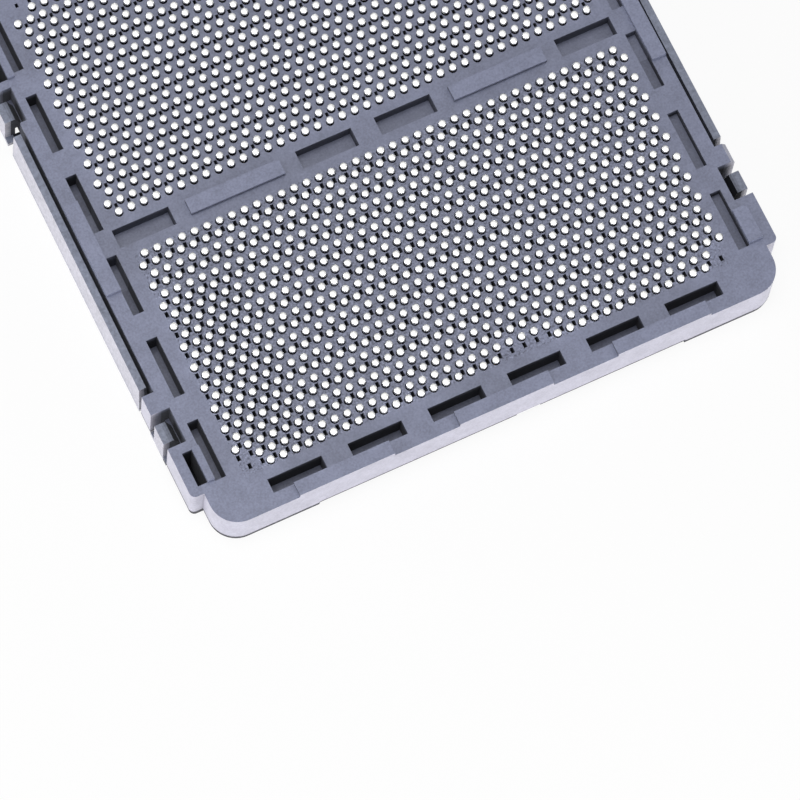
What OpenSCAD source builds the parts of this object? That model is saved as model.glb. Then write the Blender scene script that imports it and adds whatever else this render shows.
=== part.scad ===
// Land grid array processor socket, surface-mount type, in the pose it has on a bench before it is soldered:
// solder side up, contact side down on the flat pick-and-place cover that is clipped over it.
// X runs along the contact rows, Y across them and Z is up. The origin is the middle of the outline on the
// cover's flat outer face. Sizes are in millimetres.

/* [Housing] */
// Length of the moulded housing along the contact rows, without its side lugs
body_x = 42.6; // [41.8:0.1:44]
// Length of the housing across the contact rows
body_y = 43.9; // [43.2:0.1:46]
// Height of the housing from its rim to the solder-side face
body_h = 3.3; // [3.1:0.1:4]
// Corner radius of the housing
corner_r = 2.0; // [1:0.1:3]
// Thickness of the floor that holds the contacts
floor_t = 2.3; // [2.2:0.05:2.6]
// Side of the square package that drops into the contact side
package_size = 40; // [39.5:0.1:40.4]
// Gap all round between the package and its recess
package_clearance = 0.1; // [0.05:0.01:0.15]
// How far the key ribs on the side walls lie towards the front
key_y = 9; // [5:0.5:12]
// Length of a key rib along its wall
key_len = 1.2; // [0.8:0.1:1.6]
// How far a key rib stands into the recess
key_in = 0.9; // [0.5:0.1:1.2]
// Height by which the front and rear rims stand back above the cover's edge
rim_relief = 0.3; // [0.1:0.05:0.5]
// Length of that relief
relief_x = 27.8; // [20:0.1:34]

/* [Side lugs and notches] */
// How far the side lugs stand out from the housing
lug_out = 0.9; // [0.7:0.05:1.2]
// Corner radius at the outer ends of the lugs
lug_r = 0.4; // [0.2:0.05:0.6]
// Distance from the middle to the outer ends of the corner lugs
lug_end = 19; // [18.6:0.1:19.4]
// Place of the front latch notches along the sides
front_latch_y = -13.8; // [-14.2:0.1:-13.2]
// Place of the rear latch notches along the sides
rear_latch_y = 11.8; // [11.2:0.1:12.2]
// Width of a latch notch
notch_w = 2.65; // [2.4:0.05:3]
// Depth of a latch notch into the housing wall
notch_in = 0.5; // [0.4:0.05:0.55]
// Depth of the same notch below its catching sill
sill_in = 0.2; // [0.1:0.05:0.3]
// Height of the sill above the housing's rim
sill_h = 1.0; // [0.8:0.1:1.3]
// Width of the narrow lug in front of each cover rail
stop_lug_w = 1.45; // [1.2:0.05:1.5]
// Width of the chamfer along the top of the right one
stop_chamfer_x = 0.35; // [0.2:0.05:0.5]
// Height of that chamfer
stop_chamfer_z = 0.5; // [0.3:0.05:0.8]
// Length of the windows through the left corner lugs
window_y = 2.55; // [2:0.05:3]
// Width of those windows
window_x = 0.72; // [0.5:0.02:0.8]
// Wall left between a window and the outer face of its lug
window_wall = 0.74; // [0.6:0.02:0.9]

/* [Solder-side pockets and standoffs] */
// Depth of the moulding pockets along the left side, the front and the rear
pocket_deep = 2.0; // [1.5:0.05:2.1]
// Depth of the shallow pockets along the right side
right_pocket_deep = 0.8; // [0.5:0.05:1.2]
// Depth of the pockets in the strip between the contact fields
mid_pocket_deep = 1.15; // [0.8:0.05:1.6]
// Length of a pocket along a side
side_pocket_len = 4.5; // [4:0.1:5]
// Width of a pocket along a side
side_pocket_w = 0.82; // [0.7:0.02:0.9]
// Spacing of the side pockets
side_pocket_pitch = 6.5; // [6.2:0.1:6.6]
// Distance from the middle to the centre line of the side pockets
side_pocket_x = 19.83; // [19.75:0.01:19.9]
// Length of a pocket along the front or rear
end_pocket_len = 4.05; // [3.5:0.05:4.6]
// Width of a pocket along the front or rear
end_pocket_w = 1.05; // [0.9:0.05:1.1]
// Spacing of the front and rear pockets
end_pocket_pitch = 6.0; // [5.5:0.1:6.2]
// Distance from the middle to the centre line of the front and rear pockets
end_pocket_y = 20.4; // [20.3:0.05:20.5]
// Length of a pocket in the strip between the contact fields
mid_pocket_len = 4.25; // [3.8:0.05:4.6]
// Width of a pocket in that strip
mid_pocket_w = 1.4; // [1.2:0.05:1.5]
// Places of the middle pockets along the strip, measured from the middle
mid_pocket_x = [3.0, 16.85];
// Height of the standoff pads above the solder-side face
pad_h = 0.4; // [0.3:0.05:0.45]
// Length of a long standoff pad
pad_len = 7.1; // [6.5:0.1:7.6]
// Spacing of the long pads along the front and rear
end_pad_pitch = 12; // [11:0.1:12.5]
// Distance from the middle to each long pad of the middle strip
mid_pad_x = 10; // [9.6:0.1:10.4]
// Width of those pads
mid_pad_w = 1.12; // [0.9:0.02:1.3]
// Length of a short pad beside the corner lugs
corner_pad_len = 2.6; // [2.2:0.1:3]
// Place of the front corner pads and lug windows along the sides
front_corner_y = -17.1; // [-17.4:0.1:-16.8]
// Place of the rear corner pads and lug windows along the sides
rear_corner_y = 15.0; // [14.8:0.1:15.4]

/* [Contacts] */
// Spacing of the contacts along a row
pitch_x = 0.94; // [0.9:0.01:0.96]
// Spacing of the rows
pitch_y = 0.81; // [0.78:0.01:0.83]
// Rows in each of the two contact fields
rows = 22; // [4:1:22]
// Contacts in a long row, with one fewer in the rows between
long_row = 40; // [10:1:40]
// Distance from the middle to the first row of each field
first_row_y = 1.73; // [1.6:0.01:1.9]
// Sideways shift of the front field
front_shift = 0.24; // [-0.3:0.01:0.3]
// Sideways shift of the rear field
rear_shift = -0.09; // [-0.3:0.01:0.3]
// First contact of the outermost row that is left out, counted from its left end
gap_first = 21; // [4:1:30]
// How many contacts are left out there
gap_count = 4; // [0:1:6]
// Contacts left out at each end of the outermost row, one fewer in each row after it
corner_trim = 2; // [0:1:4]
// Radius of a contact's stem
stem_r = 0.12; // [0.1:0.01:0.13]
// How far a contact's tip stands out of the floor towards the package
tip_out = 0.4; // [0.2:0.05:0.5]
// Width of the groove through the floor that a row of contacts stands in
groove_w = 0.44; // [0.42:0.01:0.48]
// Offset across the rows of the rear field's grooves from the balls
rear_groove_y = -0.06; // [-0.08:0.01:0.08]
// Radius of a solder ball
ball_r = 0.3; // [0.27:0.01:0.32]
// Height of a solder ball above the solder-side face
ball_out = 0.5; // [0.46:0.01:0.56]

/* [Pick-and-place cover] */
// Thickness of the cover's plate
plate_t = 0.4; // [0.3:0.05:0.6]
// How far the plate's edge stands back from the housing's walls
plate_inset = 0.05; // [0.02:0.01:0.15]
// Extra set-back of the plate's front edge along the relief
edge_step = 0.1; // [0.05:0.01:0.2]
// Width of the finger notch in the plate's front edge
finger_w = 1.8; // [1.5:0.1:2.5]
// Depth of the finger notch
finger_in = 0.7; // [0.4:0.1:1]
// Place of the finger notch along the front edge
finger_x = 2.0; // [-6:0.1:6]
// Gap between the foot of a side rail and the housing's side wall
rail_gap = 0.14; // [0.1:0.01:0.2]
// How far a rail's inner face leans outwards over its height
rail_in_lean = 0.15; // [0:0.01:0.2]
// How far its outer face leans inwards
rail_out_lean = 0.07; // [0:0.01:0.12]
// How far the rails' tops lie below the solder-side face
rail_low = 0.28; // [0.1:0.02:0.6]
// Front end of the side rails at the top
rail_y0 = -10.45; // [-10.6:0.05:-10]
// How much further forward the foot of that end lies
rail_foot = 0.3; // [0:0.05:0.35]
// Rear end of the side rails
rail_y1 = 9.8; // [9:0.1:10]
// Width of a latch arm
arm_w = 1.45; // [1.2:0.05:1.6]
// Thickness of a latch arm
arm_t = 0.77; // [0.6:0.01:0.8]
// How far the arms' tops lie below the solder-side face
arm_low = 0.65; // [0.5:0.05:0.9]
// How far a latch arm's barb reaches in over the sill
barb_in = 0.5; // [0.4:0.01:0.55]
// Height of the barb
barb_h = 0.6; // [0.4:0.05:0.8]
// Play between a barb and the sill it catches over
barb_play = 0.05; // [0.02:0.01:0.1]
// How far the plate's bridge beside a latch arm reaches to either side of the arm
arm_bridge = 0.5; // [0.3:0.1:0.6]
// Height of the ring on the plate that centres the cover in the package recess
ring_h = 0.45; // [0.3:0.05:0.5]
// Wall of that ring
ring_t = 0.8; // [0.6:0.05:1.2]
// Gap between the ring and the recess
ring_gap = 0.15; // [0.1:0.01:0.25]
// Room left in the ring on either side of a key rib
key_room = 1.4; // [0.5:0.1:2]

/* [Hidden] */
eps = 0.05;
// How far the plans of lugs and feet reach back into the plan that they join.
join = 1;
round_fn = 48;
small_fn = 16;

face_z = plate_t + body_h;
floor_z = face_z - floor_t;
lug_x = body_x / 2 + lug_out;
recess = package_size + 2 * package_clearance;
tip_z = floor_z - tip_out;
notch_front = [front_latch_y - notch_w / 2, front_latch_y + notch_w / 2];
notch_rear = [rear_latch_y - notch_w / 2, rear_latch_y + notch_w / 2];
rail_in = body_x / 2 + rail_gap;
rail_top = face_z - rail_low;
arm_top = face_z - arm_low;
barb_z = plate_t + sill_h + barb_play;
window_mid_x = lug_x - window_wall - window_x / 2;
side_pocket_out = side_pocket_x + side_pocket_w / 2;

// How many contacts a row has before its ends are trimmed, and how many each end of it then loses at the
// field's outer corners.
function row_size(row) = row % 2 == 1 ? long_row : long_row - 1;
function row_trim(row) = max(0, corner_trim - (rows - 1 - row));
function in_gap(row, i) = row == rows - 1 && i >= gap_first && i < gap_first + gap_count;

// Places of a row's contacts along it, from the middle of its field.
function row_places(row) = [
    for (i = [row_trim(row) : row_size(row) - 1 - row_trim(row)])
        if (!in_gap(row, i))
            (i - (row_size(row) - 1) / 2) * pitch_x
];

// Place of a row across the rows. side is -1 for the front field and 1 for the rear one.
function row_y(side, row) = side * (first_row_y + row * pitch_y);

module at_field(side, shift) {
    for (row = [0 : rows - 1])
        for (x = row_places(row))
            translate([shift + x, row_y(side, row), 0])
                children();
}

module both_sides() {
    children();
    mirror([1, 0, 0]) children();
}

// A rectangle about the middle with true round corners.
module rounded_plan(x, y, r) {
    square([x - 2 * r, y], center = true);
    square([x, y - 2 * r], center = true);
    for (sx = [-1, 1], sy = [-1, 1])
        translate([sx * (x / 2 - r), sy * (y / 2 - r)])
            circle(r = r, $fn = round_fn);
}

// Plan of one lug on the right side, between two places, rounded at the outer corners it is told to round.
module lug_plan(y0, y1, out, round_low = true, round_high = true) {
    x0 = body_x / 2 - join;
    difference() {
        translate([x0, y0])
            square([out - x0, y1 - y0]);
        if (round_low)
            translate([out - lug_r, y0])
                corner_waste();
        if (round_high)
            translate([out - lug_r, y1])
                mirror([0, 1]) corner_waste();
    }
}

module corner_waste() {
    difference() {
        translate([0, -eps])
            square([lug_r + eps, lug_r + eps]);
        translate([0, lug_r])
            circle(r = lug_r, $fn = round_fn);
    }
}

// Plan of the lugs of one side: the front corner lug, the narrow stop lug and the rear corner lug.
module side_lugs_plan(out) {
    lug_plan(-lug_end, notch_front[0], out, true, false);
    lug_plan(notch_front[1], notch_front[1] + stop_lug_w, out, false, false);
    lug_plan(notch_rear[1], lug_end, out, false, true);
}

module housing_plan() {
    rounded_plan(body_x, body_y, corner_r);
    both_sides() side_lugs_plan(lug_x);
}

module box_between(low, high) {
    translate(low)
        cube(high - low);
}

// The standoff pads, which set the gap between the socket and the circuit board.
module pads() {
    pad_y = end_pocket_y + end_pocket_w / 2;
    for (k = [-1 : 1], side = [-1, 1])
        translate([k * end_pad_pitch - pad_len / 2, side > 0 ? pad_y : -body_y / 2, face_z])
            cube([pad_len, body_y / 2 - pad_y, pad_h]);
    for (k = [-1, 1])
        translate([k * mid_pad_x - pad_len / 2, -mid_pad_w / 2, face_z])
            cube([pad_len, mid_pad_w, pad_h]);
    both_sides()
        translate([side_pocket_out, -pad_len / 2, face_z])
            cube([body_x / 2 - side_pocket_out, pad_len, pad_h]);
    for (y = [front_corner_y, rear_corner_y]) {
        translate([side_pocket_out, y - corner_pad_len / 2, face_z])
            cube([body_x / 2 - side_pocket_out, corner_pad_len, pad_h]);
        translate([-window_mid_x + window_x / 2, y - corner_pad_len / 2, face_z])
            cube([window_mid_x - window_x / 2 - side_pocket_out, corner_pad_len, pad_h]);
    }
}

module pocket(x, y, size_x, size_y, deep) {
    translate([x - size_x / 2, y - size_y / 2, face_z - deep])
        cube([size_x, size_y, deep + eps]);
}

// Blind pockets that keep the moulding's walls even.
module pockets() {
    for (k = [-2.5 : 2.5]) {
        pocket(-side_pocket_x, k * side_pocket_pitch, side_pocket_w, side_pocket_len, pocket_deep);
        pocket(side_pocket_x, k * side_pocket_pitch, side_pocket_w, side_pocket_len, right_pocket_deep);
        for (side = [-1, 1])
            pocket(k * end_pocket_pitch, side * end_pocket_y, end_pocket_len, end_pocket_w, pocket_deep);
    }
    for (x = mid_pocket_x, side = [-1, 1])
        pocket(side * x, 0, mid_pocket_len, mid_pocket_w, mid_pocket_deep);
}

// The four latch notches. Above its sill each is deeper, so the barb of a latch arm catches there.
module latch_notches() {
    both_sides()
        for (y = [notch_front, notch_rear]) {
            high = [lug_x + eps, y[1], face_z + pad_h];
            box_between([body_x / 2 - sill_in, y[0], plate_t - eps], high);
            box_between([body_x / 2 - notch_in, y[0], plate_t + sill_h], high);
        }
}

module lug_windows() {
    for (y = [front_corner_y, rear_corner_y])
        translate([-window_mid_x - window_x / 2, y - window_y / 2, plate_t - eps])
            cube([window_x, window_y, body_h + pad_h + 2 * eps]);
}

// The square recess that takes the package, with a key rib on each side wall.
module package_recess() {
    translate([0, 0, plate_t - eps])
        linear_extrude(floor_z - plate_t + eps)
            difference() {
                square(recess, center = true);
                for (side = [-1, 1])
                    translate([side * recess / 2 - key_in, -key_y - key_len / 2])
                        square([2 * key_in, key_len]);
            }
}

// The grooves through the floor of one field, one for each row of contacts. The thin bars between them are all
// joined at both ends.
module contact_grooves(side, shift, offset_y) {
    for (row = [0 : rows - 1]) {
        reach = max(row_places(row)) + groove_w / 2;
        translate([shift - reach, row_y(side, row) + offset_y - groove_w / 2, floor_z - eps])
            cube([2 * reach, groove_w, floor_t + 2 * eps]);
    }
}

// The chamfer along the top of the right stop lug.
module stop_chamfer() {
    translate([0, notch_front[1] + stop_lug_w + eps, face_z])
        rotate([90, 0, 0])
            linear_extrude(stop_lug_w + 2 * eps)
                polygon([
                    [lug_x - stop_chamfer_x, 0], [lug_x - stop_chamfer_x, eps], [lug_x + eps, eps],
                    [lug_x + eps, -stop_chamfer_z], [lug_x, -stop_chamfer_z]
                ]);
}

module housing() {
    color([0.53, 0.55, 0.63])
        difference() {
            union() {
                translate([0, 0, plate_t])
                    linear_extrude(body_h)
                        housing_plan();
                pads();
            }
            package_recess();
            contact_grooves(-1, front_shift, 0);
            contact_grooves(1, rear_shift, rear_groove_y);
            pockets();
            latch_notches();
            lug_windows();
            stop_chamfer();
            for (side = [-1, 1])
                translate([-relief_x / 2, side * body_y / 2 - edge_step, plate_t - eps])
                    cube([relief_x, 2 * edge_step, rim_relief + eps]);
        }
}

// Plan of the cover's plate: the housing's outline with its edge set back, windows under the latch notches,
// and the feet of the rails and of the latch arms.
module plate_plan() {
    difference() {
        union() {
            rounded_plan(body_x - 2 * plate_inset, body_y - 2 * plate_inset, corner_r - plate_inset);
            both_sides() {
                side_lugs_plan(lug_x - plate_inset);
                translate([body_x / 2 - join, rail_y0 - rail_foot])
                    square([lug_out + join, rail_y1 - rail_y0 + rail_foot]);
                for (y = [front_latch_y, rear_latch_y])
                    translate([body_x / 2 - join, y - arm_w / 2 - arm_bridge])
                        square([lug_out + join, arm_w + 2 * arm_bridge]);
            }
        }
        both_sides()
            for (y = [front_latch_y, rear_latch_y])
                translate([body_x / 2 - notch_in, y - arm_w / 2])
                    square([lug_x - arm_t - body_x / 2 + notch_in, arm_w]);
        for (side = [-1, 1])
            translate([-relief_x / 2, side * (body_y / 2 - plate_inset) - edge_step])
                square([relief_x, 2 * edge_step]);
        translate([finger_x - finger_w / 2, -body_y / 2])
            square([finger_w, finger_in]);
    }
}

// One latch arm on the right side, with a barb whose top slopes so that it can be pushed on.
module latch_arm(y) {
    face = lug_x - arm_t;
    tip = face - barb_in;
    translate([0, y + arm_w / 2, 0])
        rotate([90, 0, 0])
            linear_extrude(arm_w)
                polygon([
                    [face, 0], [lug_x, 0], [lug_x, arm_top], [face, arm_top],
                    [tip, barb_z + barb_h / 2], [tip, barb_z], [face, barb_z]
                ]);
}

// One side rail on the right side: a rib whose faces lean together towards its top, and whose front end
// slopes down to its foot.
module side_rail() {
    intersection() {
        translate([0, rail_y1, 0])
            rotate([90, 0, 0])
                linear_extrude(rail_y1 - rail_y0 + rail_foot)
                    polygon([
                        [rail_in, 0], [lug_x, 0],
                        [lug_x - rail_out_lean, rail_top], [rail_in + rail_in_lean, rail_top]
                    ]);
        translate([rail_in - eps, 0, 0])
            rotate([90, 0, 90])
                linear_extrude(lug_x - rail_in + 2 * eps)
                    polygon([
                        [rail_y0 - rail_foot, 0], [rail_y1, 0], [rail_y1, rail_top], [rail_y0, rail_top]
                    ]);
    }
}

module cover() {
    ring = recess - 2 * ring_gap;
    key_slot = key_len + 2 * key_room;
    color([0.56, 0.58, 0.64]) {
        linear_extrude(plate_t)
            plate_plan();
        both_sides() {
            side_rail();
            latch_arm(front_latch_y);
            latch_arm(rear_latch_y);
        }
        linear_extrude(plate_t + ring_h)
            difference() {
                square(ring, center = true);
                square(ring - 2 * ring_t, center = true);
                for (side = [-1, 1])
                    translate([side * ring / 2 - ring_t - eps, -key_y - key_slot / 2])
                        square([2 * (ring_t + eps), key_slot]);
            }
    }
}

// A field of contacts. Each is a slim stem through the floor, from the springy tip up to its solder ball.
module contacts(side, shift) {
    color([0.83, 0.69, 0.4])
        at_field(side, shift)
            translate([0, 0, tip_z])
                cylinder(r = stem_r, h = face_z - tip_z, $fn = small_fn);
}

// A field of solder balls, one seated on the end of each contact and across its groove. Each is a short round
// drum as wide and as high as the ball.
module solder_balls(side, shift) {
    color([0.86, 0.87, 0.9])
        at_field(side, shift)
            translate([0, 0, face_z])
                cylinder(r = ball_r, h = ball_out, $fn = small_fn);
}

housing();
cover();  // pick_and_place_cover
contacts(-1, front_shift);  // contacts_front
contacts(1, rear_shift);  // contacts_rear
solder_balls(-1, front_shift);  // solder_balls_front
solder_balls(1, rear_shift);  // solder_balls_rear
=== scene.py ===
"""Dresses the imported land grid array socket: slots, solder balls, spring contacts, finishes, stage and camera."""

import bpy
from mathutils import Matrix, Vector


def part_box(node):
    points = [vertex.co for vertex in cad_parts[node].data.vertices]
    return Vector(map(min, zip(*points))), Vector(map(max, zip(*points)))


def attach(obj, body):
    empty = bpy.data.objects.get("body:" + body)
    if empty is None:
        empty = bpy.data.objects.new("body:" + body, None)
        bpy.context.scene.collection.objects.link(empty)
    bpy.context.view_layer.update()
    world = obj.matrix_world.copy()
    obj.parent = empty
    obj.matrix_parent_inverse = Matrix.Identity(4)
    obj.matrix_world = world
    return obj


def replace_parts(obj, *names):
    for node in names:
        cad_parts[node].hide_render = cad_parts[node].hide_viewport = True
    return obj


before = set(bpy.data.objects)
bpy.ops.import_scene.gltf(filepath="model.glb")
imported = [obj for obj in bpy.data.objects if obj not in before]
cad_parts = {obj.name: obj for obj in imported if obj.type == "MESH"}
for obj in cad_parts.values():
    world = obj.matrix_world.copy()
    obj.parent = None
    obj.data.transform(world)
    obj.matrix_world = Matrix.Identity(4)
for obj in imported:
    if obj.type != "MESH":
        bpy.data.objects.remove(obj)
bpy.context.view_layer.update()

import math

import bmesh
import bpy
from bpy.props import FloatProperty, FloatVectorProperty, IntProperty, PointerProperty
from mathutils import Matrix, Vector

bl_info = {
    "name": "Land Grid Array Socket",
    "version": (1, 0, 0),
    "blender": (4, 5, 0),
    "location": "View3D > Sidebar > Socket",
    "description": "Builds the looks of a surface-mount land grid array socket around its solid model",
    "category": "Object",
}

MM = 0.001
# Each field has 22 rows of 39 and 40 places by turns. A contact's tip stands out of the floor into the recess.
LONG_ROW = 40
ROWS = 22
BALL_RADIUS = 0.3 * MM
TIP_OUT = 0.4 * MM


def field_layout(node):
    """Ball centre height, sideways shift, both pitches and first row of one field of solder balls."""
    low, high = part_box(node)
    near = min(abs(low.y), abs(high.y)) + BALL_RADIUS
    far = max(abs(low.y), abs(high.y)) - BALL_RADIUS
    return {
        "height": high.z - BALL_RADIUS,
        "shift": (low.x + high.x) / 2,
        "along": (high.x - low.x - 2 * BALL_RADIUS) / (LONG_ROW - 1),
        "across": (far - near) / (ROWS - 1),
        "first": near,
    }


FRONT = field_layout("solder_balls_front")
REAR = field_layout("solder_balls_rear")
FIELDS = (("front", -1.0, FRONT), ("rear", 1.0, REAR))
# Heights: top of the standoff pads, the floor's face under the balls, the contacts' tips and the floor's other face.
PAD_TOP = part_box("housing")[1].z
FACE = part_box("solder_balls_front")[0].z
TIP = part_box("contacts_front")[0].z
FLOOR = TIP + TIP_OUT


# ---------------------------------------------------------------- node tree helpers


class Number:
    """A number that a node tree works out, so that its formulas read as arithmetic."""

    def __init__(self, tree, socket):
        self.tree, self.socket = tree, socket

    def math(self, operation, *others):
        made = self.tree.nodes.new("ShaderNodeMath")
        made.operation = operation
        for socket, value in zip(made.inputs, (self, *others)):
            plug(self.tree, value, socket)
        return Number(self.tree, made.outputs[0])

    def __add__(self, other):
        return self.math("ADD", other)

    def __sub__(self, other):
        return self.math("SUBTRACT", other)

    def __mul__(self, other):
        return self.math("MULTIPLY", other)

    def __truediv__(self, other):
        return self.math("DIVIDE", other)

    def __mod__(self, other):
        return self.math("MODULO", other)

    def __gt__(self, other):
        return self.math("GREATER_THAN", other)

    def __lt__(self, other):
        return self.math("LESS_THAN", other)

    def floor(self):
        return self.math("FLOOR")

    def size(self):
        """The number without its sign."""
        return self.math("ABSOLUTE")

    def either(self, other):
        return self.math("MAXIMUM", other)

    def both(self, other):
        return self.math("MINIMUM", other)

    def inverse(self):
        """1 where this is 0, and 0 where it is 1."""
        return self * -1 + 1

    def cap(self, highest):
        """A limit where this is 1, and 1 where it is 0."""
        return self * highest + self.inverse()

    def between(self, low, high):
        """0 at low, 1 at high, straight between them and held outside."""
        made = self.tree.nodes.new("ShaderNodeMapRange")
        for index, value in ((0, self), (1, low), (2, high), (3, 0.0), (4, 1.0)):
            plug(self.tree, value, made.inputs[index])
        return Number(self.tree, made.outputs[0])


def plug(tree, value, socket):
    """Puts a constant into a socket, or links a node, an output or a Number to it."""
    if isinstance(value, Number):
        value = value.socket
    if isinstance(value, bpy.types.Node):
        value = value.outputs[0]
    if isinstance(value, bpy.types.NodeSocket):
        tree.links.new(value, socket)
    elif value is not None:
        socket.default_value = value


def add(tree, kind, *values, plugs=None, **settings):
    """Adds a node: values go into its inputs in order, plugs by name, and settings are its own properties."""
    made = tree.nodes.new(kind)
    for name, value in settings.items():
        setattr(made, name, value)
    for socket, value in zip(made.inputs, values):
        plug(tree, value, socket)
    for name, value in (plugs or {}).items():
        plug(tree, value, made.inputs[name])
    return made


def new_group(name, kind, inputs, outputs):
    """A node group with its named sockets, and its input and output nodes."""
    tree = bpy.data.node_groups.new(name, kind)
    for label, socket, default in inputs:
        made = tree.interface.new_socket(label, in_out="INPUT", socket_type=socket)
        if default is not None:
            made.default_value = default
    for label, socket in outputs:
        tree.interface.new_socket(label, in_out="OUTPUT", socket_type=socket)
    given = tree.nodes.new("NodeGroupInput")
    result = tree.nodes.new("NodeGroupOutput")
    return tree, {s.name: s for s in given.outputs if s.name}, result


def use_group(tree, group, plugs):
    """Places a node group in a tree and feeds its named inputs."""
    made = tree.nodes.new("GeometryNodeGroup" if tree.bl_idname == "GeometryNodeTree" else "ShaderNodeGroup")
    made.node_tree = group
    for name, value in plugs.items():
        plug(tree, value, made.inputs[name])
    return made


def shared_group(name, maker, *needs):
    """A node group by name, made the first time it is asked for."""
    return bpy.data.node_groups.get(name) or maker(*needs)


def combine(tree, x, y, z):
    """A vector of three parts."""
    return add(tree, "ShaderNodeCombineXYZ", x, y, z).outputs[0]


def separate(tree, vector):
    """The three parts of a vector."""
    return [Number(tree, socket) for socket in add(tree, "ShaderNodeSeparateXYZ", vector).outputs]


# ---------------------------------------------------------------- repeated pieces

NUMBER, WHOLE, SHAPE, FINISH = "NodeSocketFloat", "NodeSocketInt", "NodeSocketGeometry", "NodeSocketMaterial"
# A solder ball leans by up to the first of these angles, and is turned by up to the second.
BALL_TILT, FULL_TURN = 0.12, 6.283
# A cavity's number of sides, and the length of its drill against the floor's thickness.
CAVITY_SIDES = 12
DRILL_LENGTH = 1.2
# The plates that fill the grooves again are this much thinner than the floor, and this many pitches longer than
# their rows.
HAIR = 0.0004 * MM
PLATE_MARGIN = 0.2
# Edges stay soft below this angle, and points closer than this reach become one.
SMOOTH_BELOW = math.radians(32)
MERGE_REACH = 1e-7
FIELD_INPUTS = (
    ("Side", NUMBER, -1.0),
    ("Shift", NUMBER, 0.0),
    ("Pitch Along", NUMBER, FRONT["along"]),
    ("Pitch Across", NUMBER, FRONT["across"]),
    ("First Row", NUMBER, FRONT["first"]),
    ("Rows", WHOLE, ROWS),
    ("Long Row", WHOLE, LONG_ROW),
)
PLACE_NAMES = ("row", "place", "size")


def field_points_group():
    """Points of one staggered contact field. Each keeps its row and its place in the row as attributes."""
    tree, given, result = new_group("field_points", "GeometryNodeTree", FIELD_INPUTS, [("Points", SHAPE)])
    rows, long_row = Number(tree, given["Rows"]), Number(tree, given["Long Row"])
    index = Number(tree, tree.nodes.new("GeometryNodeInputIndex").outputs[0])
    row = ((index + 0.5) / long_row).floor()
    place = index - row * long_row
    size = long_row - 1 + (row % 2)
    x = (place - (size - 1) / 2) * given["Pitch Along"] + given["Shift"]
    y = (row * given["Pitch Across"] + given["First Row"]) * given["Side"]
    kept = add(tree, "GeometryNodePoints", rows * long_row, combine(tree, x, y, 0.0)).outputs[0]
    for name, value in zip(PLACE_NAMES, (row, place, size)):
        kept = add(
            tree,
            "GeometryNodeStoreNamedAttribute",
            plugs={"Geometry": kept, "Name": name, "Value": value},
            data_type="FLOAT",
            domain="POINT",
        ).outputs[0]
    plug(tree, drop(tree, kept, place > size - 0.5), result.inputs[0])
    return tree


def places(tree):
    """A point's row, its place in the row and how many places that row has."""
    for name in PLACE_NAMES:
        made = add(tree, "GeometryNodeInputNamedAttribute", plugs={"Name": name}, data_type="FLOAT")
        yield Number(tree, made.outputs[0])


def drop(tree, points, unwanted):
    """Leaves out the unwanted points."""
    return add(tree, "GeometryNodeDeleteGeometry", points, unwanted, domain="POINT").outputs[0]


def moved(tree, shape, offset):
    """The points of a shape, moved by an offset."""
    return add(tree, "GeometryNodeSetPosition", plugs={"Geometry": shape, "Offset": offset})


def copies(tree, shape, points):
    """Real copies of a shape, one at each point."""
    placed = add(tree, "GeometryNodeInstanceOnPoints", plugs={"Points": points, "Instance": shape})
    return add(tree, "GeometryNodeRealizeInstances", placed).outputs[0]


def handed_on(given):
    """A field's inputs, handed on to the group that makes its points."""
    return {name: given[name] for name, _, _ in FIELD_INPUTS}


def filled_points_group(field_points):
    """Points of a field that hold a contact: two corners are trimmed and a run of the outermost row is empty."""
    tree, given, result = new_group(
        "filled_points",
        "GeometryNodeTree",
        FIELD_INPUTS + (("Corner Trim", WHOLE, 2), ("Gap First", WHOLE, 21), ("Gap Count", WHOLE, 4)),
        [("Points", SHAPE)],
    )
    points = use_group(tree, field_points, handed_on(given)).outputs[0]
    row, place, size = places(tree)
    from_last = Number(tree, given["Rows"]) - row - 1
    trim = Number(tree, given["Corner Trim"]) - from_last
    cut = (place < trim - 0.5).either(place > size - trim - 0.5)
    cut = cut.both(trim > 0.5)
    first = Number(tree, given["Gap First"])
    gap = (place > first - 0.5).both(place < first + given["Gap Count"] - 0.5).both(from_last < 0.5)
    plug(tree, drop(tree, points, cut.either(gap)), result.inputs[0])
    return tree


def finish_tree(tree, shape, material, result, smooth=True):
    """Realizes the instances, shades them and gives them their material."""
    real = add(tree, "GeometryNodeRealizeInstances", shape)
    shaded = add(tree, "GeometryNodeSetShadeSmooth", plugs={"Geometry": real, "Shade Smooth": smooth})
    coated = add(tree, "GeometryNodeSetMaterial", plugs={"Geometry": shaded, "Material": material})
    plug(tree, coated.outputs[0], result.inputs[0])


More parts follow.
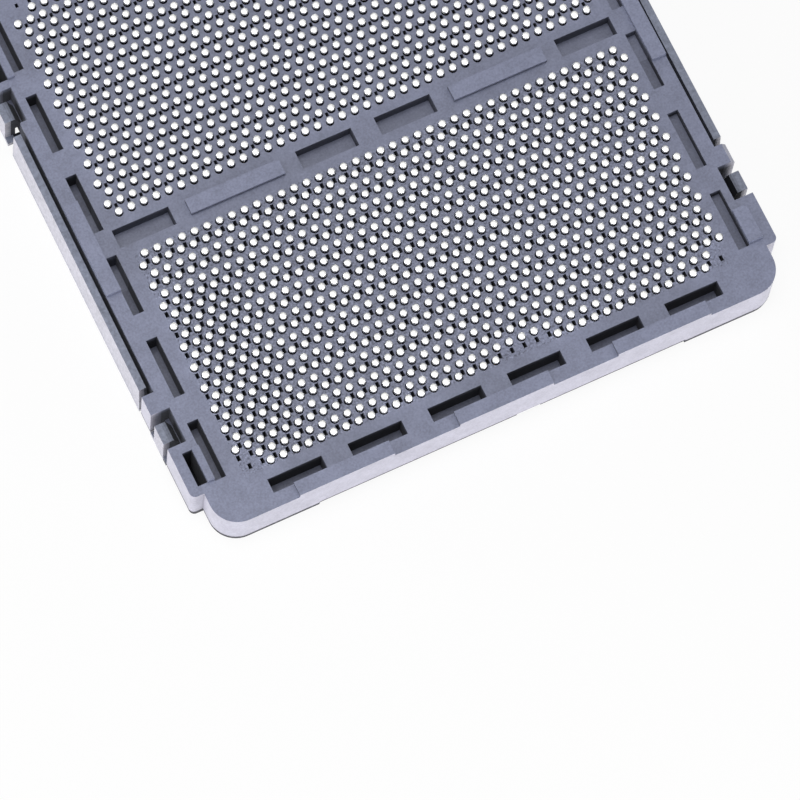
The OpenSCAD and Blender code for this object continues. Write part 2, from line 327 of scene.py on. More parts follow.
def ball_tree(filled_points):
    """Solder balls on a field: reflowed drops, each a little different, wetted flat onto the contact below."""
    tree, given, result = new_group(
        "solder_ball_field",
        "GeometryNodeTree",
        FIELD_INPUTS
        + (
            ("Radius", NUMBER, BALL_RADIUS),
            ("Slimness", NUMBER, 0.96),
            ("Neck Start", NUMBER, -0.55),
            ("Neck Flatness", NUMBER, 0.3),
            ("Height", NUMBER, FRONT["height"]),
            ("Unevenness", NUMBER, 0.05),
            ("Seed", WHOLE, 3),
            ("Material", FINISH, None),
        ),
        [("Geometry", SHAPE)],
    )
    points = use_group(tree, filled_points, handed_on(given)).outputs[0]
    radius = Number(tree, given["Radius"])
    ball = add(tree, "GeometryNodeMeshIcoSphere", radius, 2)
    slim = combine(tree, given["Slimness"], given["Slimness"], 1.0)
    ball = add(tree, "GeometryNodeTransform", plugs={"Geometry": ball, "Scale": slim})
    z = separate(tree, add(tree, "GeometryNodeInputPosition"))[2]
    neck = (radius * given["Neck Start"] - z).either(0.0)
    solder_drop = moved(tree, ball, combine(tree, 0.0, 0.0, neck * given["Neck Flatness"]))
    seats = moved(tree, points, combine(tree, 0.0, 0.0, given["Height"]))
    turn = add(tree, "FunctionNodeRandomValue", data_type="FLOAT_VECTOR")
    plug(tree, (-BALL_TILT, -BALL_TILT, 0.0), turn.inputs[0])
    plug(tree, (BALL_TILT, BALL_TILT, FULL_TURN), turn.inputs[1])
    plug(tree, given["Seed"], turn.inputs["Seed"])
    shrink = add(tree, "FunctionNodeRandomValue", data_type="FLOAT")
    plug(tree, Number(tree, given["Unevenness"]).inverse(), shrink.inputs[2])
    plug(tree, 1.0, shrink.inputs[3])
    plug(tree, Number(tree, given["Seed"]) + 1, shrink.inputs["Seed"])
    placed = add(
        tree,
        "GeometryNodeInstanceOnPoints",
        plugs={"Points": seats, "Instance": solder_drop, "Rotation": turn.outputs[0], "Scale": shrink.outputs[1]},
    )
    finish_tree(tree, placed, given["Material"], result)
    return tree


# One spring contact, as (sideways, up) places from the tip's height, in millimetres: tip, arm, body and solder tail.
SPRING_PATH = (
    (0.72, 0.07),
    (0.64, 0.02),
    (0.52, 0.04),
    (0.12, 0.42),
    (0.03, 0.62),
    (-0.02, 0.95),
    (0.03, 1.5),
    (0.0, 2.1),
    (0.0, 2.66),
)


def contact_tree(filled_points):
    """Spring contacts on a field: a bent strip from the solder ball through its cavity to the tip in the recess."""
    tree, given, result = new_group(
        "spring_contact_field",
        "GeometryNodeTree",
        FIELD_INPUTS
        + (
            ("Tip Height", NUMBER, TIP),
            ("Strip Width", NUMBER, 0.22 * MM),
            ("Strip Thickness", NUMBER, 0.06 * MM),
            ("Material", FINISH, None),
        ),
        [("Geometry", SHAPE)],
    )
    points = use_group(tree, filled_points, handed_on(given)).outputs[0]
    line = add(tree, "GeometryNodeCurvePrimitiveLine", mode="POINTS")
    path = add(tree, "GeometryNodeResampleCurve", plugs={"Curve": line, "Count": len(SPRING_PATH)})
    index = Number(tree, tree.nodes.new("GeometryNodeInputIndex").outputs[0])
    x = z = index * 0.0
    for step, (side, up) in enumerate(SPRING_PATH):
        here = (index > step - 0.5).both(index < step + 0.5)
        x, z = x + here * (side * MM), z + here * (up * MM)
    bent = add(
        tree,
        "GeometryNodeSetPosition",
        plugs={"Geometry": path, "Position": combine(tree, x, 0.0, z + given["Tip Height"])},
    )
    across = add(
        tree,
        "GeometryNodeCurvePrimitiveQuadrilateral",
        plugs={"Width": given["Strip Thickness"], "Height": given["Strip Width"]},
    )
    strip = add(tree, "GeometryNodeCurveToMesh", plugs={"Curve": bent, "Profile Curve": across, "Fill Caps": True})
    placed = add(tree, "GeometryNodeInstanceOnPoints", plugs={"Points": points, "Instance": strip})
    finish_tree(tree, placed, given["Material"], result, smooth=False)
    return tree


def field_plate(tree, given, end, side):
    """A plate that fills the grooves of one field again, a hair below the faces of the floor."""
    length, width = FRONT["along"] * (LONG_ROW + PLATE_MARGIN), FRONT["across"] * (ROWS + PLATE_MARGIN)
    size = combine(tree, length, width, FACE - FLOOR - HAIR)
    plate = add(tree, "GeometryNodeMeshCube", size)
    middle = FRONT["first"] + FRONT["across"] * (ROWS - 1) / 2
    place = combine(tree, given[f"{end} Shift"], side * middle, (FACE + FLOOR) / 2)
    return add(tree, "GeometryNodeTransform", plugs={"Geometry": plate, "Translation": place}).outputs[0]


def boolean(tree, operation, first, others):
    """Joins cutters or fillers and applies them to a shape."""
    joined = tree.nodes.new("GeometryNodeJoinGeometry")
    for other in reversed(others):
        tree.links.new(other, joined.inputs[0])
    cut = tree.nodes.new("GeometryNodeMeshBoolean")
    cut.operation, cut.solver = operation, "MANIFOLD"
    if operation == "DIFFERENCE":
        plug(tree, first, cut.inputs[0])
        plug(tree, joined.outputs[0], cut.inputs[1])
    else:
        tree.links.new(joined.outputs[0], cut.inputs[1])
        tree.links.new(first, cut.inputs[1])
    return cut.outputs[0]


def slotted_housing_tree(field_points, filled_points):
    """Fills the housing's grooves, then cuts a cavity for each contact and the slots beside the cavities."""
    tree, given, result = new_group(
        "slotted_housing",
        "GeometryNodeTree",
        (
            ("Housing", SHAPE, None),
            ("Front Shift", NUMBER, FRONT["shift"]),
            ("Rear Shift", NUMBER, REAR["shift"]),
            ("Front Slot Along", NUMBER, 0.42 * MM),
            ("Front Slot Across", NUMBER, 0.21 * MM),
            ("Rear Slot Along", NUMBER, 0.51 * MM),
            ("Rear Slot Across", NUMBER, -0.28 * MM),
            ("Front Slot Width", NUMBER, 0.25 * MM),
            ("Front Slot Length", NUMBER, 0.4 * MM),
            ("Rear Slot Width", NUMBER, 0.22 * MM),
            ("Rear Slot Length", NUMBER, 0.3 * MM),
            ("Slot Depth", NUMBER, 2.4 * MM),
            ("Front Cavity Radius", NUMBER, 0.32 * MM),
            ("Rear Cavity Radius", NUMBER, 0.3 * MM),
            ("Front Cavity Across", NUMBER, 0.0),
            ("Rear Cavity Across", NUMBER, -0.06 * MM),
            ("Face Height", NUMBER, FACE),
            ("Corner Slots Left Of", NUMBER, -12.3 * MM),
            ("Corner Slots In Front Of", NUMBER, -6.0 * MM),
            ("Material", FINISH, None),
        ),
        [("Geometry", SHAPE)],
    )
    deep = Number(tree, given["Slot Depth"])
    cutters, plates = [], []
    for end, side in (("Front", -1.0), ("Rear", 1.0)):
        along, across = Number(tree, given[f"{end} Slot Along"]), given[f"{end} Slot Across"]
        field = {"Side": side, "Shift": given[f"{end} Shift"]}
        points = use_group(tree, field_points, field).outputs[0]
        row, place, size = places(tree)
        even = (row % 2) < 0.5
        sets = [(drop(tree, points, even.either(place > size - 1.5)), along)]
        if end == "Front":
            x, y, _ = separate(tree, add(tree, "GeometryNodeInputPosition"))
            outside = (x > given["Corner Slots Left Of"]).either(y > given["Corner Slots In Front Of"])
            sets.append((drop(tree, points, ((row % 2) > 0.5).either(outside)), along - FRONT["along"]))
        slot = combine(tree, given[f"{end} Slot Width"], given[f"{end} Slot Length"], deep * 2)
        slot = add(tree, "GeometryNodeMeshCube", slot)
        for chosen, sideways in sets:
            offset = combine(tree, sideways, across, given["Face Height"])
            cutters.append(copies(tree, slot, moved(tree, chosen, offset)))
        filled = use_group(tree, filled_points, field).outputs[0]
        offset = combine(tree, 0.0, given[f"{end} Cavity Across"], (FACE + FLOOR) / 2)
        drill = add(
            tree,
            "GeometryNodeMeshCylinder",
            plugs={
                "Vertices": CAVITY_SIDES,
                "Radius": given[f"{end} Cavity Radius"],
                "Depth": (FACE - FLOOR) * DRILL_LENGTH,
            },
        )
        cutters.append(copies(tree, drill, moved(tree, filled, offset)))
        plates.append(field_plate(tree, given, end, side))
    closed = boolean(tree, "UNION", given["Housing"], plates)
    cut = boolean(tree, "DIFFERENCE", closed, cutters)
    finish_tree(tree, cut, given["Material"], result, smooth=True)
    return tree


def points_groups():
    """The groups for all of a field's places and for those that hold a contact."""
    field_points = shared_group("field_points", field_points_group)
    return field_points, shared_group("filled_points", filled_points_group, field_points)


def grown_piece(name, tree, inputs, base=None):
    """Runs a Geometry Nodes tree on an object and returns its result as a plain mesh object at the origin."""
    mesh = base or bpy.data.meshes.new(name + "_seed")
    seed = bpy.data.objects.new(name + "_seed", mesh)
    bpy.context.scene.collection.objects.link(seed)
    modifier = seed.modifiers.new("build", "NODES")
    modifier.node_group = tree
    sockets = (s for s in tree.interface.items_tree if s.item_type == "SOCKET" and s.in_out == "INPUT")
    identifiers = {socket.name: socket.identifier for socket in sockets}
    for label, value in inputs.items():
        modifier[identifiers[label]] = value
    graph = bpy.context.evaluated_depsgraph_get()
    made = bpy.data.meshes.new_from_object(seed.evaluated_get(graph))
    made.name = name
    piece = bpy.data.objects.new(name, made)
    bpy.context.scene.collection.objects.link(piece)
    bpy.data.objects.remove(seed)
    if not made.polygons:
        raise RuntimeError(f"{name} came out empty")
    for spare_name in PLACE_NAMES:
        forget(made, spare_name)
    return piece


def forget(mesh, name):
    """Removes an attribute of a mesh, where it has one of that name."""
    spare = mesh.attributes.get(name)
    if spare:
        mesh.attributes.remove(spare)


def merge(mesh):
    """Joins the loose triangles of a copied solid into one closed surface."""
    work = bmesh.new()
    work.from_mesh(mesh)
    bmesh.ops.remove_doubles(work, verts=work.verts, dist=MERGE_REACH)
    work.to_mesh(mesh)
    work.free()
    forget(mesh, "custom_normal")


def paint(piece, material):
    """Gives a piece one material."""
    piece.data.materials.clear()
    piece.data.materials.append(material)


# ---------------------------------------------------------------- finishes

# How much a face looks along an axis, from 0 to 1: less than the first is past it, more than the second along it.
LOOKS_PAST, LOOKS_ALONG = 0.3, 0.7
# How much a face looks up or down, from 0 on a wall to 1 on a level face, where the masks start and end.
WALL, UPRIGHT, SLOPING, LEVEL = 0.4, 0.5, 0.8, 0.9
# How much painted shade darkens the deepest recess and how much rougher it is, and the values that both plastics
# have all over.
RECESS_SHADE = 0.92
RECESS_ROUGHNESS = 0.3
PLASTIC_CONSTANTS = {
    "IOR": 1.3,
    "Sheen Weight": 0.12,
    "Sheen Roughness": 0.35,
    "Sheen Tint": (0.88, 0.9, 1.0, 1.0),
    "Coat Roughness": 0.5,
    "Coat IOR": 1.75,
}


def noise(tree, size, detail):
    """Noise on the object's own coordinates, with features of about the given size."""
    place = tree.nodes.new("ShaderNodeTexCoord").outputs["Object"]
    scale = add(tree, "ShaderNodeMath", 1.0, size, operation="DIVIDE")
    made = add(tree, "ShaderNodeTexNoise", plugs={"Vector": place, "Scale": scale, "Detail": detail})
    return Number(tree, made.outputs[0])


def surface_grain_group():
    """Grain of a surface: how light it is, how rough, and its relief."""
    tree, given, result = new_group(
        "surface_grain",
        "ShaderNodeTree",
        (
            ("Grain Size", NUMBER, 0.12 * MM),
            ("Cloud Size", NUMBER, 1.2 * MM),
            ("Grain Strength", NUMBER, 0.1),
            ("Cloud Strength", NUMBER, 0.22),
            ("Roughness", NUMBER, 0.6),
            ("Roughness Spread", NUMBER, 1.0),
            ("Fine Share", NUMBER, 0.2),
            ("Broad Share", NUMBER, 0.15),
        ),
        [("Shade", NUMBER), ("Roughness", NUMBER), ("Relief", NUMBER)],
    )
    grain = noise(tree, given["Grain Size"], 2.0)
    fine, broad = grain - 0.5, noise(tree, given["Cloud Size"], 3.0) - 0.5
    shade = fine * given["Grain Strength"] * 2 + broad * given["Cloud Strength"] * 2 + 1
    spread = (fine * given["Fine Share"] + broad * given["Broad Share"]) * given["Roughness Spread"]
    for socket, value in zip(result.inputs, (shade, spread + given["Roughness"], grain)):
        plug(tree, value, socket)
    return tree


def place_and_slope(tree):
    """A point's distance from the middle along X, its Y and height, and how far its face looks along Y and Z."""
    coordinates = tree.nodes.new("ShaderNodeTexCoord").outputs
    x, y, z = separate(tree, coordinates["Object"])
    _, across, up = separate(tree, coordinates["Normal"])
    return x.size(), y, z, across.size(), up.size()


def recess_mask_group():
    """Two masks: painted shade in pockets, slots, notches and gaps, where little light gets in, and painted light
    that makes the outer walls paler.
    """
    tree, given, result = new_group(
        "recess_mask",
        "ShaderNodeTree",
        (
            ("Ends Half X", NUMBER, 20.6 * MM),
            ("Ends Half Y", NUMBER, 21.2 * MM),
            ("Sides Half X", NUMBER, 21.4 * MM),
            ("Sides Half Y", NUMBER, 18.8 * MM),
            ("Top", NUMBER, PAD_TOP),
            ("Fade", NUMBER, 1.0 * MM),
            ("Pads Half X", NUMBER, 19.5 * MM),
            ("Pad End Shade", NUMBER, 0.8),
            ("Floor Shade", NUMBER, 0.22),
            ("Ends Fade From", NUMBER, 22.0 * MM),
            ("Ends Fade To", NUMBER, 21.3 * MM),
            ("Gap Half Y", NUMBER, 10.8 * MM),
            ("Gap Inner X", NUMBER, 20.6 * MM),
            ("Gap Top", NUMBER, 3.2 * MM),
            ("Gap Shade", NUMBER, 0.62),
            ("Strip Half Y", NUMBER, 3.0 * MM),
            ("Strip Shade", NUMBER, 0.74),
        ),
        [("Mask", NUMBER), ("Painted Wall Light", NUMBER)],
    )
    x, y, z, across, up = place_and_slope(tree)
    y = y.size()
    pad_ends = (x < given["Pads Half X"]).both(across < LOOKS_PAST)
    near_ends = (x < given["Ends Half X"]).both(y < given["Ends Half Y"])
    notch_ends = (across > LOOKS_ALONG) * x.between(given["Ends Fade From"], given["Ends Fade To"])
    near_sides = (x < given["Sides Half X"]).either(notch_ends).both(y < given["Sides Half Y"])
    gap = (y < given["Gap Half Y"]).both(x > given["Gap Inner X"]).both(across < LOOKS_PAST)
    gap = gap.both(z > given["Gap Top"])
    strip = y < given["Strip Half Y"]
    # Painted shade, half at the top and full a fade's depth below it, lighter in the gap and in the middle strip.
    depth = (Number(tree, given["Top"]) - z) / given["Fade"] * 0.5 + 0.5
    shade = depth.both(1.0).both(gap.cap(given["Gap Shade"])).both(strip.cap(given["Strip Shade"]))
    steep = up.between(SLOPING, WALL)
    near = near_ends.either(near_sides)
    inner = near.either(pad_ends)
    # Painted shade on the pocket floors and on the pads' end walls.
    floors = (depth > 1.0).both(near).both(strip.inverse()) * given["Floor Shade"]
    ends = pad_ends.both(steep) * given["Pad End Shade"]
    plug(tree, (inner.both(steep) * shade).either(floors).either(ends), result.inputs[0])
    # Painted light: the outer walls, outside the inner region, take the paler wall colour.
    plug(tree, inner.inverse() * steep, result.inputs[1])
    return tree


def plate_mask_group():
    """Painted shade of the cover: full on the plate's narrow edge and on its face in the notches; the arms are made
    partly darker.
    """
    tree, given, result = new_group(
        "plate_mask",
        "ShaderNodeTree",
        (
            ("Edge Height", NUMBER, 0.36 * MM),
            ("Plate Height", NUMBER, 0.42 * MM),
            ("Face Half X", NUMBER, 21.6 * MM),
            ("Front Of Rails", NUMBER, -14.6 * MM),
            ("Behind Rails", NUMBER, 12.6 * MM),
            ("Arm Shade", NUMBER, 0.4),
        ),
        [("Mask", NUMBER)],
    )
    x, y, z, _, up = place_and_slope(tree)
    off_rails = (y < given["Front Of Rails"]).either(y > given["Behind Rails"]).either(x < given["Face Half X"])
    edge = (z < given["Edge Height"]).both(up < UPRIGHT).both(off_rails)
    face = (z < given["Plate Height"]).both(z > given["Edge Height"]).both(x < given["Face Half X"])
    arms = (z > given["Plate Height"]).both(off_rails) * given["Arm Shade"]
    plug(tree, edge.either(face).either(arms), result.inputs[0])
    return tree


def foot_mask_group():
    """1 on the lowest band of the walls, in the shade of the joint with the cover, and 0 elsewhere."""
    tree, given, result = new_group(
        "foot_mask",
        "ShaderNodeTree",
        (("Foot Height", NUMBER, 0.54 * MM), ("Strength", NUMBER, 0.9)),
        [("Mask", NUMBER)],
    )
    _, _, z, _, up = place_and_slope(tree)
    plug(tree, (z < given["Foot Height"]).both(up < UPRIGHT) * given["Strength"], result.inputs[0])
    return tree


# How far the flecks reach past the middles of the field's first and last rows, in row pitches.
FLECK_MARGIN = 0.4


def field_flecks_group():
    """Shade of the face between the contacts: small dark and light flecks left by the mould's many pins."""
    tree, given, result = new_group(
        "field_flecks",
        "ShaderNodeTree",
        (
            ("Fleck Size", NUMBER, 0.16 * MM),
            ("Dark", NUMBER, 0.4),
            ("Dark From", NUMBER, 0.45),
            ("Dark To", NUMBER, 0.35),
            ("Light", NUMBER, 0.45),
            ("Light From", NUMBER, 0.58),
            ("Light To", NUMBER, 0.68),
            ("Half X", NUMBER, FRONT["along"] * (LONG_ROW - 1) / 2),
            ("Inner Y", NUMBER, -FRONT["first"] + FRONT["across"] * FLECK_MARGIN),
            ("Outer Y", NUMBER, -FRONT["first"] - FRONT["across"] * (ROWS - 1 + FLECK_MARGIN)),
        ),
        [("Shade", NUMBER)],
    )
    x, y, _, _, up = place_and_slope(tree)
    field = (x < given["Half X"]).both(y < given["Inner Y"]).both(y > given["Outer Y"]).both(up > LEVEL)
    spots = noise(tree, given["Fleck Size"], 1.0)
    dark = spots.between(given["Dark From"], given["Dark To"]) * given["Dark"]
    light = spots.between(given["Light From"], given["Light To"]) * given["Light"]
    plug(tree, (light - dark) * field + 1, result.inputs[0])
    return tree


def new_material(name):
    """A material, its node tree and its shader."""
    material = bpy.data.materials.new(name)
    material.use_nodes = True
    tree = material.node_tree
    return material, tree, tree.nodes["Principled BSDF"]


def mixed(tree, share, first, second):
    """A colour that goes from the first to the second with a share that varies over the surface."""
    made = add(tree, "ShaderNodeMix", share, data_type="RGBA")
    plug(tree, (*first[:3], 1.0), made.inputs[6])
    plug(tree, (*second[:3], 1.0), made.inputs[7])
    return made.outputs[2]


def tinted(tree, colour, shade):
    """A colour multiplied by a value that varies over the surface."""
    scaled = add(tree, "ShaderNodeVectorMath", operation="SCALE")
    plug(tree, colour, scaled.inputs[0])
    plug(tree, shade, scaled.inputs["Scale"])
    return scaled.outputs[0]


def plastic_material(name, colours, grain, relief, recess, own_mask, flecks=None):
    """Moulded plastic with painted light that makes its outer walls paler than its face, and painted shade that
    darkens its recesses and where its own mask says.
    """
    material, tree, shader = new_material(name)
    recess = use_group(tree, shared_group("recess_mask", recess_mask_group), recess).outputs
    # Painted shade: the recess mask and the piece's own mask darken the colour and thin the coat.
    dark = Number(tree, recess["Mask"]).either(use_group(tree, own_mask, {}).outputs[0])
    grain = use_group(tree, shared_group("surface_grain", surface_grain_group), grain).outputs
    shade = (dark * -RECESS_SHADE + 1) * grain["Shade"]
    if flecks:
        shade = shade * use_group(tree, flecks, {}).outputs[0]
    # Painted light: the outer walls take the paler wall colour instead of the face colour.
    painted_wall_light_colour = mixed(tree, recess["Painted Wall Light"], *colours)
    plug(tree, tinted(tree, painted_wall_light_colour, shade), shader.inputs["Base Color"])
    plug(tree, dark * RECESS_ROUGHNESS + grain["Roughness"], shader.inputs["Roughness"])
    plug(tree, shade, shader.inputs["Coat Weight"])
    bump = add(tree, "ShaderNodeBump", plugs={"Strength": 1.0, "Distance": relief, "Height": grain["Relief"]})
    plug(tree, bump.outputs[0], shader.inputs["Normal"])
    for name, value in PLASTIC_CONSTANTS.items():
        shader.inputs[name].default_value = value
    return material


def metal_material(name, colour, roughness, stain):
    """Bare metal with faint stains."""
    material, tree, shader = new_material(name)
    grain = use_group(
        tree,
        shared_group("surface_grain", surface_grain_group),
        {
            "Grain Size": 0.25 * MM,
            "Grain Strength": stain,
            "Cloud Strength": stain,
            "Roughness": roughness,
            "Roughness Spread": 0.2,
        },
    )
    plug(tree, tinted(tree, colour[:3], grain.outputs["Shade"]), shader.inputs["Base Color"])
    plug(tree, grain.outputs["Roughness"], shader.inputs["Roughness"])
    shader.inputs["Metallic"].default_value = 1.0
    return material


# ---------------------------------------------------------------- sizes and colours


class SocketSizes(bpy.types.PropertyGroup):
    """Sizes that a user would change."""

    slot_width: FloatProperty(
        name="Slot width", description="Width of a slot of the front field", default=0.25 * MM, unit="LENGTH"
    )
    slot_length: FloatProperty(
        name="Slot length", description="Length of a slot of the front field", default=0.4 * MM, unit="LENGTH"
    )
    slot_depth: FloatProperty(
        name="Slot depth", description="Depth of the contact slots", default=2.4 * MM, unit="LENGTH"
    )
    ball_unevenness: FloatProperty(
        name="Ball unevenness",
        description="Share by which a solder ball may be smaller",
        default=0.05,
        subtype="FACTOR",
    )
    strip_width: FloatProperty(
        name="Strip width", description="Width of a spring contact's strip", default=0.22 * MM, unit="LENGTH"
    )
    seed: IntProperty(name="Seed", description="Seed of the solder balls' small differences", default=3)


class SocketColours(bpy.types.PropertyGroup):
    """Colours that a user would change."""

    housing: FloatVectorProperty(
        name="Housing", description="Housing plastic", subtype="COLOR", default=(0.124, 0.14, 0.23)
    )
    # Painted light: this wall colour makes the housing's outer walls paler than its face.
    housing_walls_painted_light: FloatVectorProperty(
        name="Housing walls",
        description="Housing plastic on its paler outer walls",
        subtype="COLOR",
        default=(0.21, 0.205, 0.255),
    )
    cover: FloatVectorProperty(
        name="Cover", description="Cover plastic", subtype="COLOR", default=(0.125, 0.145, 0.215)
    )
    # Painted light: this wall colour makes the cover's outer walls paler than its face.
    cover_walls_painted_light: FloatVectorProperty(
        name="Cover walls",
        description="Cover plastic on its paler outer walls",
        subtype="COLOR",
        default=(0.21, 0.205, 0.245),
    )
    solder: FloatVectorProperty(
        name="Solder", description="Solder balls", subtype="COLOR", default=(0.76, 0.76, 0.75)
    )
    contact: FloatVectorProperty(
        name="Contacts", description="Gold plating of the contacts", subtype="COLOR", default=(0.83, 0.63, 0.3)
    )


# ---------------------------------------------------------------- operators


def field_values(side, layout):
    """A field's side and layout, as inputs of its tree."""
    return {
        "Side": side,
        "Shift": layout["shift"],
        "Pitch Along": layout["along"],
        "Pitch Across": layout["across"],
        "First Row": layout["first"],
    }


class SOCKET_OT_housing(bpy.types.Operator):
    """Cuts the cavities and slots into a copy of the housing and gives it its plastic"""

    bl_idname = "socket.housing"
    bl_label = "Housing"

    def execute(self, context):
        sizes, colours = context.scene.socket_sizes, context.scene.socket_colours
        plastic = plastic_material(
            "housing_plastic",
            (colours.housing, colours.housing_walls_painted_light),
            grain={"Grain Size": 0.15 * MM, "Grain Strength": 0.3},
            relief=0.015 * MM,
            recess={"Sides Half X": 21.4 * MM, "Gap Top": 3.2 * MM},
            own_mask=shared_group("foot_mask", foot_mask_group),
            flecks=shared_group("field_flecks", field_flecks_group),
        )
        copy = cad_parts["housing"].data.copy()
        merge(copy)
        piece = grown_piece(
            "slotted_housing",
            slotted_housing_tree(*points_groups()),
            {
                "Front Slot Width": sizes.slot_width,
                "Front Slot Length": sizes.slot_length,
                "Slot Depth": sizes.slot_depth,
                "Material": plastic,
            },
            base=copy,
        )
        piece.data.set_sharp_from_angle(angle=SMOOTH_BELOW)
        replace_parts(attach(piece, "root"), "housing")
        return {"FINISHED"}


class SOCKET_OT_cover(bpy.types.Operator):
    """Gives the pick-and-place cover its coarser plastic"""

    bl_idname = "socket.cover"
    bl_label = "Cover"

    def execute(self, context):
        colours = context.scene.socket_colours
        plastic = plastic_material(
            "cover_plastic",
            (colours.cover, colours.cover_walls_painted_light),
            grain={"Grain Size": 0.22 * MM, "Grain Strength": 0.5},
            relief=0.03 * MM,
            recess={"Sides Half X": 21.75 * MM, "Gap Top": 2.75 * MM},
            own_mask=shared_group("plate_mask", plate_mask_group),
        )
        paint(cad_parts["pick_and_place_cover"], plastic)
        return {"FINISHED"}


class SOCKET_OT_solder_balls(bpy.types.Operator):
    """Sets a solder ball on every contact"""

    bl_idname = "socket.solder_balls"
    bl_label = "Solder balls"

    def execute(self, context):
        sizes, colours = context.scene.socket_sizes, context.scene.socket_colours
        solder = metal_material("solder", colours.solder, roughness=0.45, stain=0.05)
        tree = ball_tree(points_groups()[1])
        for end, side, layout in FIELDS:
            piece = grown_piece(
                f"bright_solder_balls_{end}",
                tree,
                field_values(side, layout)
                | {
                    "Height": layout["height"],
                    "Unevenness": sizes.ball_unevenness,
                    "Seed": sizes.seed + int(side),
                    "Material": solder,
                },
            )
            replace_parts(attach(piece, "root"), f"solder_balls_{end}")
        return {"FINISHED"}


class SOCKET_OT_contacts(bpy.types.Operator):
    """Puts a bent spring contact in every cavity"""

    bl_idname = "socket.contacts"
    bl_label = "Spring contacts"

    def execute(self, context):
        sizes, colours = context.scene.socket_sizes, context.scene.socket_colours
        gold = metal_material("contact_metal", colours.contact, roughness=0.28, stain=0.1)
        tree = contact_tree(points_groups()[1])
        for end, side, layout in FIELDS:
            piece = grown_piece(
                f"spring_contacts_{end}",
                tree,
                field_values(side, layout) | {"Tip Height": TIP, "Strip Width": sizes.strip_width, "Material": gold},
            )
            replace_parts(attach(piece, "root"), f"contacts_{end}")
        return {"FINISHED"}


# ---------------------------------------------------------------- stage

WHITE = (1.0, 1.0, 1.0, 1.0)
# How much of the floor's colour is plain white to the camera, and how strongly the surroundings light the object.
FLOOR_GLOW = 0.9
AMBIENT = 0.2
# The camera's place in millimetres, and its own right, up and back directions.
CAMERA_PLACE = (-87.04, -134.9, 407.0)
CAMERA_AXES = ((0.8986, -0.4355, 0.054), (0.3962, 0.858, 0.3268), (-0.1886, -0.2722, 0.9436))


class SOCKET_OT_stage(bpy.types.Operator):
    """Floor, soft lights, white surroundings and the camera"""

    bl_idname = "socket.stage"
    bl_label = "Stage"

    def execute(self, context):
        scene = context.scene
        floor = floor_piece()
        white_world(scene)
        area_light("overhead_softbox", (-0.07, 0.03, 0.6), target=(0, 0, 0), size=(0.3, 0.3), power=1.45)
        for name, place in (("front_low_strip", (0.05, -0.32, 0.035)), ("left_low_strip", (-0.32, 0.0, 0.035))):
            area_light(name, place, target=(0, 0, 0.002), size=(0.5, 0.06), power=2.0)
        scene.view_settings.view_transform = "Standard"
        add_camera(scene)
        return {"FINISHED"}


def in_sight(tree):
    """1 for what the camera sees, straight, off gloss or through glass, and 0 for what lights the object."""
    rays = tree.nodes.new("ShaderNodeLightPath").outputs
    seen = Number(tree, rays["Is Camera Ray"])
    return seen.either(rays["Is Glossy Ray"]).either(rays["Is Transmission Ray"])


def floor_piece():
    """A plain pale floor that keeps the object's shadow."""
    mesh = bpy.data.meshes.new("floor")
    reach, level = 3.0, -0.00002
    corners = [(x * reach, y * reach, level) for x, y in ((-1, -1), (1, -1), (1, 1), (-1, 1))]
    mesh.from_pydata(corners, [], [(0, 1, 2, 3)])
    floor = bpy.data.objects.new("floor", mesh)
    bpy.context.scene.collection.objects.link(floor)
    material, tree, shader = new_material("pale_floor")
    shader.inputs["Base Color"].default_value = (0.92, 0.92, 0.92, 1.0)
    shader.inputs["Roughness"].default_value = 0.9
    glow = add(tree, "ShaderNodeEmission", WHITE, 1.0)
    shown = add(tree, "ShaderNodeMixShader", in_sight(tree) * FLOOR_GLOW, shader.outputs[0], glow.outputs[0])
    plug(tree, shown, tree.nodes["Material Output"].inputs[0])
    paint(floor, material)
    return floor


def white_world(scene):
    """White to the camera and in reflections, softer as a light on the object."""
    world = bpy.data.worlds.new("white_surroundings")
    scene.world = world
    world.use_nodes = True
    tree = world.node_tree
    ambient = tree.nodes["Background"]
    ambient.inputs["Color"].default_value = WHITE
    ambient.inputs["Strength"].default_value = AMBIENT
    white = add(tree, "ShaderNodeBackground", WHITE, 1.0)
    shown = add(tree, "ShaderNodeMixShader", in_sight(tree), ambient.outputs[0], white.outputs[0])
    plug(tree, shown, tree.nodes["World Output"].inputs[0])


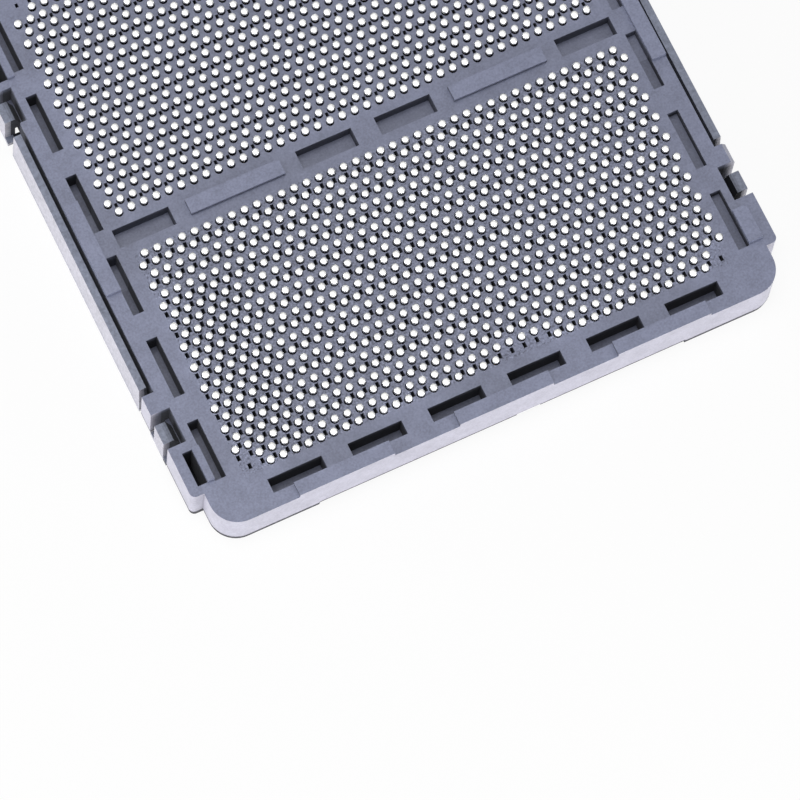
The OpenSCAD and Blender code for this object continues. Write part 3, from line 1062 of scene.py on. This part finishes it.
def area_light(name, place, target, size, power):
    """A soft rectangular light that faces a target and isn't seen itself."""
    lamp = bpy.data.lights.new(name, "AREA")
    lamp.shape, lamp.energy = "RECTANGLE", power
    lamp.size, lamp.size_y = size
    light = bpy.data.objects.new(name, lamp)
    light.visible_camera = False
    light.location = place
    light.rotation_euler = (Vector(place) - Vector(target)).to_track_quat("Z", "Y").to_euler()
    bpy.context.scene.collection.objects.link(light)


def add_camera(scene):
    """A long lens from above the front left corner."""
    data = bpy.data.cameras.new("camera")
    data.lens, data.sensor_width = 284.1, 36.0
    data.clip_start, data.clip_end = 0.02, 10.0
    camera = bpy.data.objects.new("camera", data)
    turn = Matrix(CAMERA_AXES).transposed().to_4x4()
    camera.matrix_world = Matrix.Translation(Vector(CAMERA_PLACE) * MM) @ turn
    scene.collection.objects.link(camera)
    scene.camera = camera


# ---------------------------------------------------------------- panel and registration


class SOCKET_PT_panel(bpy.types.Panel):
    """Sizes, colours and the operators that build the socket's looks"""

    bl_idname = "SOCKET_PT_panel"
    bl_label = "Land grid array socket"
    bl_space_type = "VIEW_3D"
    bl_region_type = "UI"
    bl_category = "Socket"

    def draw(self, context):
        for group in (context.scene.socket_sizes, context.scene.socket_colours):
            box = self.layout.box()
            for name in group.__annotations__:
                box.prop(group, name)
        for operator in OPERATORS:
            self.layout.operator(operator.bl_idname)


OPERATORS = (SOCKET_OT_housing, SOCKET_OT_cover, SOCKET_OT_solder_balls, SOCKET_OT_contacts, SOCKET_OT_stage)
CLASSES = (SocketSizes, SocketColours, *OPERATORS, SOCKET_PT_panel)


def register():
    for cls in CLASSES:
        bpy.utils.register_class(cls)
    bpy.types.Scene.socket_sizes = PointerProperty(type=SocketSizes)
    bpy.types.Scene.socket_colours = PointerProperty(type=SocketColours)


def unregister():
    del bpy.types.Scene.socket_colours
    del bpy.types.Scene.socket_sizes
    for cls in reversed(CLASSES):
        bpy.utils.unregister_class(cls)


def main():
    """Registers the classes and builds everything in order."""
    register()
    bpy.ops.socket.housing()
    bpy.ops.socket.cover()
    bpy.ops.socket.solder_balls()
    bpy.ops.socket.contacts()
    bpy.ops.socket.stage()


if __name__ == "__main__":
    main()
